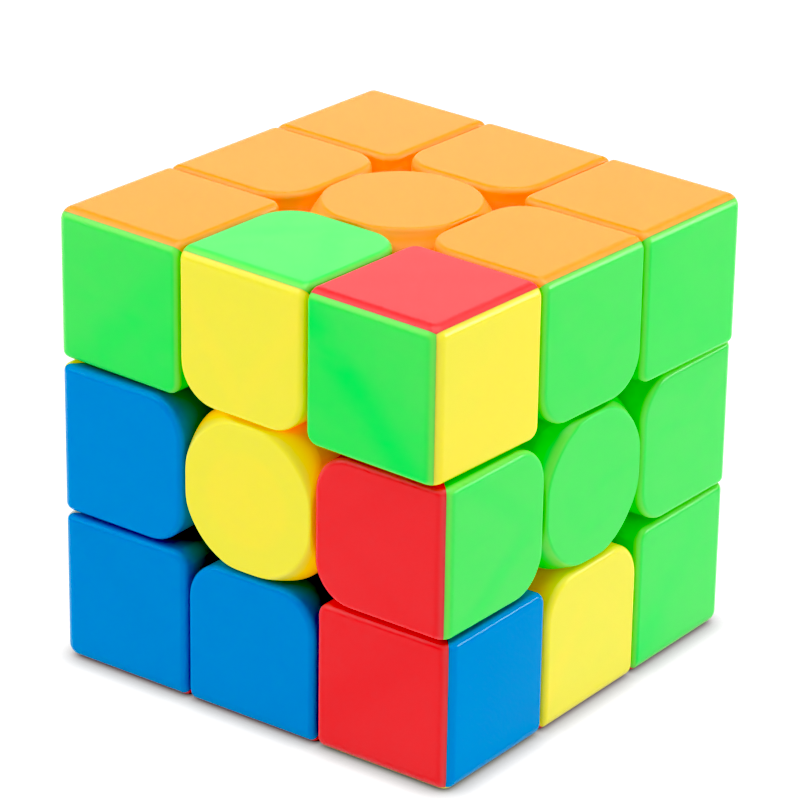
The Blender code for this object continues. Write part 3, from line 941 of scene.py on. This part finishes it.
def blended(tree, factor, first, second):
    """The first colour at 0, the second at 1."""
    made = node(tree, "ShaderNodeMix", {"data_type": "RGBA"}, Factor=factor, A=first, B=second)
    return made.outputs["Result"]


def noise(tree, vector, scale, detail=2.0, distortion=0.0):
    inputs = {"Vector": vector, "Scale": scale, "Detail": detail, "Distortion": distortion}
    return node(tree, "ShaderNodeTexNoise", None, **inputs).outputs["Fac"]


def object_place(tree):
    return tree.nodes.new("ShaderNodeTexCoord").outputs["Object"]


def stretched(tree, vector, turn, scale):
    made = node(tree, "ShaderNodeMapping", None, Vector=vector, Rotation=turn, Scale=scale)
    return made.outputs["Vector"]


def distance(tree, across, along):
    squares = maths(tree, "ADD", maths(tree, "POWER", across, 2.0), maths(tree, "POWER", along, 2.0))
    return maths(tree, "SQRT", squares)


def corner_ribs(tree, x, y, half):
    """A wall across the corner's inner half, with the foot beyond it, and two pins nearer to its tip."""
    across = maths(tree, "SUBTRACT", maths(tree, "ADD", x, y), 2 * half - CORNER_WALL)
    wall = ramp(tree, maths(tree, "ABSOLUTE", across), *CORNER_WALL_RUN)
    foot = ramp(tree, across, *CORNER_FOOT_RUN)
    far = maths(tree, "SUBTRACT", maths(tree, "MAXIMUM", x, y), half - PIN_FAR)
    close = maths(tree, "SUBTRACT", maths(tree, "MINIMUM", x, y), half - PIN_CLOSE)
    pins = ramp(tree, distance(tree, far, close), *PIN_RUN)
    wall = maths(tree, "MULTIPLY", wall, CORNER_WALL_SHARE)
    foot = maths(tree, "MULTIPLY", foot, CORNER_FOOT_SHARE)
    pins = maths(tree, "MULTIPLY", pins, PIN_SHARE)
    return maths(tree, "ADD", maths(tree, "MAXIMUM", foot, pins), wall)


def edge_ribs(tree, x, y, half):
    """Two walls that run from the ends of the outer side together towards the cap."""
    depth = maths(tree, "MULTIPLY", maths(tree, "SUBTRACT", half, y), EDGE_LEG_LEAN)
    slant = maths(tree, "ADD", maths(tree, "ABSOLUTE", x), depth)
    across = maths(tree, "SUBTRACT", slant, EDGE_LEG)
    legs = ramp(tree, maths(tree, "ABSOLUTE", across), *EDGE_LEG_RUN)
    return maths(tree, "MULTIPLY", legs, EDGE_LEG_SHARE)


def cap_plug(tree, x, y, half):
    """The center's plug behind the cap, about the cap's own axis."""
    plug = ramp(tree, distance(tree, x, y), *PLUG_RUN)
    return maths(tree, "MULTIPLY", plug, PLUG_SHARE)


BEHIND = {"corner": corner_ribs, "edge": edge_ribs, "cap": cap_plug}


def new_group(name, inputs, outputs):
    """A node group, whose sockets hold a colour where their value has four parts, and a number otherwise."""
    tree = bpy.data.node_groups.new(name, "ShaderNodeTree")
    for way, sockets in (("INPUT", inputs), ("OUTPUT", outputs)):
        for title, value in sockets.items():
            kind = "NodeSocketColor" if isinstance(value, tuple) else "NodeSocketFloat"
            made = tree.interface.new_socket(name=title, in_out=way, socket_type=kind)
            made.default_value = value
    source = tree.nodes.new("NodeGroupInput").outputs
    sink = tree.nodes.new("NodeGroupOutput").inputs
    return tree, source, sink


def behind_and_painted_light_group(kind, half):
    """Marks what stands behind a shell's wall, and the fillets and depths where its sheen, gap light and shade
    and glow are painted, by the place in its own frame.
    """
    name = f"behind_{kind}"
    if name in bpy.data.node_groups:
        return bpy.data.node_groups[name]
    outputs = {"Behind": 0.0, "Rim": 0.0, "Depth": 0.0, "Through": 0.0}
    tree, _, sink = new_group(name, {}, outputs)
    own_place = node(tree, "ShaderNodeAttribute", {"attribute_name": OWN_PLACE})
    axes = node(tree, "ShaderNodeSeparateXYZ", None, Vector=own_place.outputs["Vector"]).outputs
    down = maths(tree, "SUBTRACT", half, axes["Z"])
    # rim marks the fillets, where the sheen is painted
    rim = maths(tree, "MULTIPLY", ramp(tree, down, *PAINTED_SHEEN_START), ramp(tree, down, *PAINTED_SHEEN_END))
    # through holds the mask of the painted glow down in a gap
    through = maths(tree, "MULTIPLY", ramp(tree, down, *PAINTED_GLOW_START), ramp(tree, down, *PAINTED_GLOW_END))
    tree.links.new(BEHIND[kind](tree, axes["X"], axes["Y"], half), sink["Behind"])
    tree.links.new(rim, sink["Rim"])
    # Depth marks where the gap's light and shade are painted
    tree.links.new(ramp(tree, down, *PAINTED_GAP_START), sink["Depth"])
    tree.links.new(through, sink["Through"])
    return tree


def pigment_and_painted_light_group():
    """Colour that deepens over what stands behind the wall and in clouds along the flow, with a painted sheen
    on the fillets, painted light and shade down in gaps and a painted glow there.
    """
    if "pigment" in bpy.data.node_groups:
        return bpy.data.node_groups["pigment"]
    inputs = {
        "Colour": GREY,
        "Deep colour": GREY,
        "Rim colour": GREY,
        "Gap colour": GREY,
        "Behind": 0.0,
        "Rim": 0.0,
        "Depth": 0.0,
        "Through": 0.0,
        "Clouds": 0.0,
    }
    tree, source, sink = new_group("pigment", inputs, {"Colour": GREY, "Glow": BLACK})
    here = object_place(tree)
    lie = stretched(tree, here, CLOUD_TURN, CLOUD_STRETCH)
    clouds = ramp(tree, noise(tree, lie, 1.0, distortion=0.6), *CLOUD_RUN)
    clouds = maths(tree, "MULTIPLY", clouds, source["Clouds"])
    uneven = ramp(tree, noise(tree, here, UNEVEN_SCALE, distortion=0.4), *UNEVEN_RUN)
    thin = ramp(tree, noise(tree, here, THIN_SCALE, detail=0.0), *THIN_RUN)
    thin = maths(tree, "ADD", maths(tree, "MULTIPLY", thin, 1 - LEAST_SHOWN), LEAST_SHOWN)
    shown = maths(tree, "MULTIPLY", source["Behind"], maths(tree, "MULTIPLY", uneven, thin))
    deep = maths(tree, "MINIMUM", maths(tree, "ADD", clouds, shown), 1.0)
    face = blended(tree, deep, source["Colour"], source["Deep colour"])
    # Painted sheen on the fillets
    face = blended(tree, source["Rim"], face, source["Rim colour"])
    # Painted light and shade down in the gaps
    face = blended(tree, source["Depth"], face, source["Gap colour"])
    tree.links.new(face, sink["Colour"])
    # Painted glow: the gap colour, emitted down in a gap
    tree.links.new(blended(tree, source["Through"], BLACK, source["Gap colour"]), sink["Glow"])
    return tree


def handled_group():
    """Fine moulded grain, faint haze from handling and hairline scratches."""
    if "handled" in bpy.data.node_groups:
        return bpy.data.node_groups["handled"]
    inputs = {"Roughness": 0.3, "Haze": 0.0, "Scratches": 0.0}
    tree, source, sink = new_group("handled", inputs, {"Roughness": 0.3, "Height": 0.0})
    here = object_place(tree)
    haze = ramp(tree, noise(tree, here, HAZE_SCALE, detail=3.0), *HAZE_RUN)
    rough = maths(tree, "ADD", maths(tree, "MULTIPLY", haze, source["Haze"]), source["Roughness"])
    for turn in HAIR_TURNS:
        lie = stretched(tree, here, turn, HAIR_STRETCH)
        hairs = ramp(tree, noise(tree, lie, 1.0, detail=1.0), *HAIR_RUN)
        rough = maths(tree, "ADD", rough, maths(tree, "MULTIPLY", hairs, source["Scratches"]))
    tree.links.new(rough, sink["Roughness"])
    grain = noise(tree, here, GRAIN_SCALE, detail=3.0)
    sag = maths(tree, "MULTIPLY", noise(tree, here, SAG_SCALE, detail=1.0), SAG_SHARE)
    tree.links.new(maths(tree, "ADD", grain, sag), sink["Height"])
    return tree


def placed(tree, group, **inputs):
    return node(tree, "ShaderNodeGroup", {"node_tree": group}, **inputs)


def surfaced(name, roughness, haze, scratches, bump):
    """A new material whose roughness and relief come from handling."""
    material = bpy.data.materials.new(name)
    material.use_nodes = True
    tree = material.node_tree
    shader = tree.nodes["Principled BSDF"]
    surface = placed(tree, handled_group(), Roughness=roughness, Haze=haze, Scratches=scratches)
    relief = node(tree, "ShaderNodeBump", None, Strength=bump, Distance=GRAIN_DEPTH)
    tree.links.new(surface.outputs["Height"], relief.inputs["Height"])
    tree.links.new(surface.outputs["Roughness"], shader.inputs["Roughness"])
    tree.links.new(relief.outputs["Normal"], shader.inputs["Normal"])
    return material, shader


def pigmented(material, shader, face, deep, clouds):
    tree = material.node_tree
    pigment = placed(tree, pigment_and_painted_light_group(), Colour=(*face, 1.0), Deep_colour=(*deep, 1.0), Clouds=clouds)
    tree.links.new(pigment.outputs["Colour"], shader.inputs["Base Color"])
    return pigment


def shell_plastic(slot_name, kind):
    """Dyed plastic that lets a little light in, for one kind of shell; corner, edge and cap shells also get a
    painted sheen, painted gap light and shade and a painted glow.
    """
    name = f"{slot_name}_{kind}_plastic"
    if name in bpy.data.materials:
        return bpy.data.materials[name]
    finish = bpy.context.scene.cube_finish
    # rim holds the painted sheen colour, and gap holds the painted light and shade of the gaps
    face, deep, rim, gap = [getattr(finish, slot_name + part) for part in ("", "_deep", "_rim", "_gap")]
    material, shader = surfaced(name, finish.shell_roughness, haze=0.03, scratches=0.03, bump=0.12)
    pigment = pigmented(material, shader, face, deep, finish.clouds)
    # Painted sheen colour for the fillets
    pigment.inputs["Rim colour"].default_value = (*rim, 1.0)
    # Painted light and shade for the walls down in a gap
    pigment.inputs["Gap colour"].default_value = (*gap, 1.0)
    if kind in BEHIND:
        tree = material.node_tree
        behind = placed(tree, behind_and_painted_light_group(kind, bpy.context.scene.cube_sizes.half))
        for mark in behind.outputs:
            tree.links.new(mark, pigment.inputs[mark.name])
        # Painted glow: the gap walls emit light, though they are no lamp
        tree.links.new(pigment.outputs["Glow"], shader.inputs["Emission Color"])
        shader.inputs["Emission Strength"].default_value = getattr(finish, f"{slot_name}_glow")
    shader.inputs["IOR"].default_value = PLASTIC_IOR
    shader.inputs["Specular IOR Level"].default_value = finish.shell_gloss
    shader.inputs["Subsurface Weight"].default_value = finish.shell_glow
    spread = [SPREAD_LEAST + (1 - SPREAD_LEAST) * part for part in face]
    shader.inputs["Subsurface Radius"].default_value = spread
    shader.inputs["Subsurface Scale"].default_value = finish.glow_depth
    return material


def works_plastic(slot_name):
    """Plain plastic of the inner works."""
    name = f"{slot_name}_matt"
    if name in bpy.data.materials:
        return bpy.data.materials[name]
    base = Vector(getattr(bpy.context.scene.cube_finish, slot_name))
    material, shader = surfaced(name, roughness=0.48, haze=0.1, scratches=0.05, bump=0.7)
    pigmented(material, shader, face=base, deep=base * 0.8, clouds=0.6)
    return material


def plated_steel(slot_name):
    """Zinc-plated wire and screw steel."""
    name = f"{slot_name}_plated"
    if name in bpy.data.materials:
        return bpy.data.materials[name]
    base = Vector(getattr(bpy.context.scene.cube_finish, slot_name))
    material, shader = surfaced(name, roughness=0.24, haze=0.12, scratches=0.3, bump=0.8)
    pigmented(material, shader, face=base, deep=base * 0.75, clouds=0.6)
    shader.inputs["Metallic"].default_value = 1.0
    return material


# Placing


def layer_turn(cad_node, sizes):
    """The turn of the layer that a node belongs to at rest."""
    if "_top_" in "_" + cad_node:
        return Matrix.Rotation(sizes.top_turn, 3, "Z")
    if "_bottom_" in "_" + cad_node:
        return Matrix.Rotation(sizes.bottom_turn, 3, "Z")
    return Matrix.Identity(3)


def put(name, mesh, turn, cad_node, material, sizes):
    """Turns a copy of a shape to its place, dresses it, and lets it stand for its node."""
    shape = mesh.copy()
    shape.name = name
    own_place = shape.attributes.new(OWN_PLACE, "FLOAT_VECTOR", "POINT")
    own_place.data.foreach_set("vector", [value for vertex in mesh.vertices for value in vertex.co])
    shape.transform((layer_turn(cad_node, sizes) @ turn).to_4x4())
    shape.materials.clear()
    shape.materials.append(material)
    shape.shade_smooth()
    shape.set_sharp_from_angle(angle=SHARP_ANGLE)
    piece = bpy.data.objects.new(name, shape)
    bpy.context.scene.collection.objects.link(piece)
    weights = piece.modifiers.new("weights", "WEIGHTED_NORMAL")
    weights.keep_sharp = True
    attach(piece, BODY_OF[cad_node])
    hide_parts(cad_node)
    return piece


def put_on_faces(kind, mesh, slot_names, finish, sizes):
    """One piece of a kind on each of the six axes, each in the finish of its slot."""
    pieces = {}
    for face, direction in FACES.items():
        cad_node = f"{face}_{kind}"
        slot_name = slot_names[face]
        name = f"{cad_node}_piece"
        pieces[face] = put(name, mesh, facing(direction), cad_node, finish(slot_name), sizes)
    return pieces


# Operators


class CUBE_OT_corners(Operator):
    """Builds the three coloured shells of each corner"""

    bl_idname = "cube.corners"
    bl_label = "Corner shells"

    def execute(self, context):
        sizes = context.scene.cube_sizes
        shape = corner_shell(sizes)
        for faces, colours in CORNER_COLOURS.items():
            cad_node = "corner_" + "_".join(faces)
            for face, slot_name in zip(faces, colours):
                first, second = [FACES[other] for other in faces if other != face]
                turn = columns(first, second, FACES[face])
                if turn.determinant() < 0:
                    turn = columns(second, first, FACES[face])
                material = shell_plastic(slot_name, "corner")
                put(f"{cad_node}_{face}_shell", shape, turn, cad_node, material, sizes)
        return {"FINISHED"}


class CUBE_OT_edges(Operator):
    """Builds the two coloured shells of each edge"""

    bl_idname = "cube.edges"
    bl_label = "Edge shells"

    def execute(self, context):
        sizes = context.scene.cube_sizes
        shape = edge_shell(sizes)
        for faces, colours in EDGE_COLOURS.items():
            cad_node = "edge_" + "_".join(faces)
            for face, other, slot_name in zip(faces, reversed(faces), colours):
                up = FACES[face]
                out = FACES[other]
                turn = columns(out.cross(up), out, up)
                material = shell_plastic(slot_name, "edge")
                put(f"{cad_node}_{face}_shell", shape, turn, cad_node, material, sizes)
        return {"FINISHED"}


class CUBE_OT_centers(Operator):
    """Builds the center bases"""

    bl_idname = "cube.centers"
    bl_label = "Center bases"

    def execute(self, context):
        sizes = context.scene.cube_sizes
        finish = partial(shell_plastic, kind="center")
        put_on_faces("center", center_base(sizes), CENTER_COLOURS, finish, sizes)
        return {"FINISHED"}


class CUBE_OT_caps(Operator):
    """Builds the caps on the center bases"""

    bl_idname = "cube.caps"
    bl_label = "Center caps"

    def execute(self, context):
        sizes = context.scene.cube_sizes
        finish = partial(shell_plastic, kind="cap")
        put_on_faces("cap", center_cap(sizes), CENTER_COLOURS, finish, sizes)
        return {"FINISHED"}


class CUBE_OT_core(Operator):
    """Builds the core with its six arms"""

    bl_idname = "cube.core"
    bl_label = "Core"

    def execute(self, context):
        sizes = context.scene.cube_sizes
        slot_name = "core_plastic"
        put("core_piece", core(sizes), Matrix.Identity(3), "core", works_plastic(slot_name), sizes)
        return {"FINISHED"}


class CUBE_OT_screws(Operator):
    """Builds the screws"""

    bl_idname = "cube.screws"
    bl_label = "Screws"

    def execute(self, context):
        sizes = context.scene.cube_sizes
        put_on_faces("screw", screw(sizes), dict.fromkeys(FACES, "steel"), plated_steel, sizes)
        return {"FINISHED"}


class CUBE_OT_washers(Operator):
    """Builds the washers under the screw heads"""

    bl_idname = "cube.washers"
    bl_label = "Washers"

    def execute(self, context):
        sizes = context.scene.cube_sizes
        put_on_faces("washer", washer(sizes), dict.fromkeys(FACES, "washer_plastic"), works_plastic, sizes)
        return {"FINISHED"}


class CUBE_OT_springs(Operator):
    """Builds the springs, each with a mesh of its own"""

    bl_idname = "cube.springs"
    bl_label = "Springs"

    def execute(self, context):
        sizes = context.scene.cube_sizes
        pieces = put_on_faces("spring", spring(sizes), dict.fromkeys(FACES, "steel"), plated_steel, sizes)
        for face, piece in pieces.items():
            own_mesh(piece)
        return {"FINISHED"}


class CUBE_OT_stage(Operator):
    """Sets the pale floor, the soft lights and the camera"""

    bl_idname = "cube.stage"
    bl_label = "Stage"

    def execute(self, context):
        scene = context.scene
        stage = scene.cube_stage
        add_floor(-scene.cube_sizes.half, stage.floor_glow)
        add_room(stage)
        for name, (place, size) in SOFTBOXES.items():
            add_softbox(f"{name}_box", place, size, getattr(stage, name))
        add_camera(stage)
        scene.view_settings.view_transform = "Standard"
        scene.view_settings.use_curve_mapping = True
        scene.view_settings.curve_mapping.black_level = [stage.black_level] * 3
        scene.view_settings.curve_mapping.update()
        return {"FINISHED"}


def add_floor(height, glow):
    """A pale floor that glows evenly, darkened by a painted contact shadow near the cube."""
    bm = bmesh.new()
    bmesh.ops.create_grid(bm, x_segments=1, y_segments=1, size=FLOOR_REACH)
    bmesh.ops.translate(bm, vec=(0, 0, height), verts=bm.verts)
    floor = bpy.data.objects.new("floor", mesh_of(bm))
    bpy.context.scene.collection.objects.link(floor)
    material = bpy.data.materials.new("pale_floor")
    material.use_nodes = True
    tree = material.node_tree
    shader = tree.nodes["Principled BSDF"]
    shader.inputs["Base Color"].default_value = FLOOR_GREY
    shader.inputs["Roughness"].default_value = 0.9
    shader.inputs["Specular IOR Level"].default_value = 0.0
    # Painted contact shadow: ambient occlusion dims the floor's glow near the cube
    painted_contact_shadow = node(tree, "ShaderNodeAmbientOcclusion", {"samples": CONTACT_SAMPLES}, Distance=CONTACT_REACH)
    tree.links.new(painted_contact_shadow.outputs["Color"], shader.inputs["Emission Color"])
    shader.inputs["Emission Strength"].default_value = glow
    floor.data.materials.append(material)


def add_room(stage):
    world = bpy.data.worlds.new("white_room")
    world.use_nodes = True
    background = world.node_tree.nodes["Background"]
    background.inputs["Color"].default_value = (1.0, 1.0, 1.0, 1.0)
    background.inputs["Strength"].default_value = stage.room
    bpy.context.scene.world = world


def add_softbox(name, place, size, watts):
    light = bpy.data.lights.new(name, "AREA")
    light.size = size
    light.energy = watts
    lamp = bpy.data.objects.new(name, light)
    lamp.location = place
    lamp.rotation_euler = Vector(place).to_track_quat("Z", "Y").to_euler()
    bpy.context.scene.collection.objects.link(lamp)


def add_camera(stage):
    data = bpy.data.cameras.new("camera")
    data.lens = stage.lens
    data.sensor_width = SENSOR_WIDTH
    data.shift_x = stage.shift_x
    data.shift_y = stage.shift_y
    data.clip_start = CLIP_START
    camera = bpy.data.objects.new("camera", data)
    right = Vector((math.cos(stage.azimuth), math.sin(stage.azimuth), 0.0))
    ahead = Vector((-math.sin(stage.azimuth), math.cos(stage.azimuth), 0.0))
    back = Vector((0.0, 0.0, math.sin(stage.elevation))) - math.cos(stage.elevation) * ahead
    rolled_right = math.cos(stage.roll) * right + math.sin(stage.roll) * back.cross(right)
    turn = columns(rolled_right, back.cross(rolled_right), back)
    camera.matrix_world = Matrix.Translation(back * stage.distance) @ turn.to_4x4()
    bpy.context.scene.collection.objects.link(camera)
    bpy.context.scene.camera = camera


STEPS = (
    CUBE_OT_corners,
    CUBE_OT_edges,
    CUBE_OT_centers,
    CUBE_OT_caps,
    CUBE_OT_core,
    CUBE_OT_screws,
    CUBE_OT_washers,
    CUBE_OT_springs,
    CUBE_OT_stage,
)


class CUBE_PT_panel(Panel):
    """Lists the steps and the sizes, colours and lights they use"""

    bl_idname = "CUBE_PT_panel"
    bl_label = "Puzzle cube"
    bl_space_type = "VIEW_3D"
    bl_region_type = "UI"
    bl_category = "Puzzle cube"

    def draw(self, context):
        for step in STEPS:
            self.layout.operator(step.bl_idname)
        scene = context.scene
        for settings in (scene.cube_sizes, scene.cube_finish, scene.cube_stage):
            part = self.layout.box()
            for name in settings.__annotations__:
                part.prop(settings, name)


GROUPS = {"cube_sizes": CubeSizes, "cube_finish": CubeFinish, "cube_stage": CubeStage}


def register():
    for settings in (*GROUPS.values(), *STEPS, CUBE_PT_panel):
        bpy.utils.register_class(settings)
    for name, settings in GROUPS.items():
        setattr(bpy.types.Scene, name, PointerProperty(type=settings))


def unregister():
    for name in GROUPS:
        delattr(bpy.types.Scene, name)
    for settings in reversed((*GROUPS.values(), *STEPS, CUBE_PT_panel)):
        bpy.utils.unregister_class(settings)


def main():
    register()
    for step in STEPS:
        area, action = step.bl_idname.split(".")
        getattr(getattr(bpy.ops, area), action)()


if __name__ == "__main__":
    main()
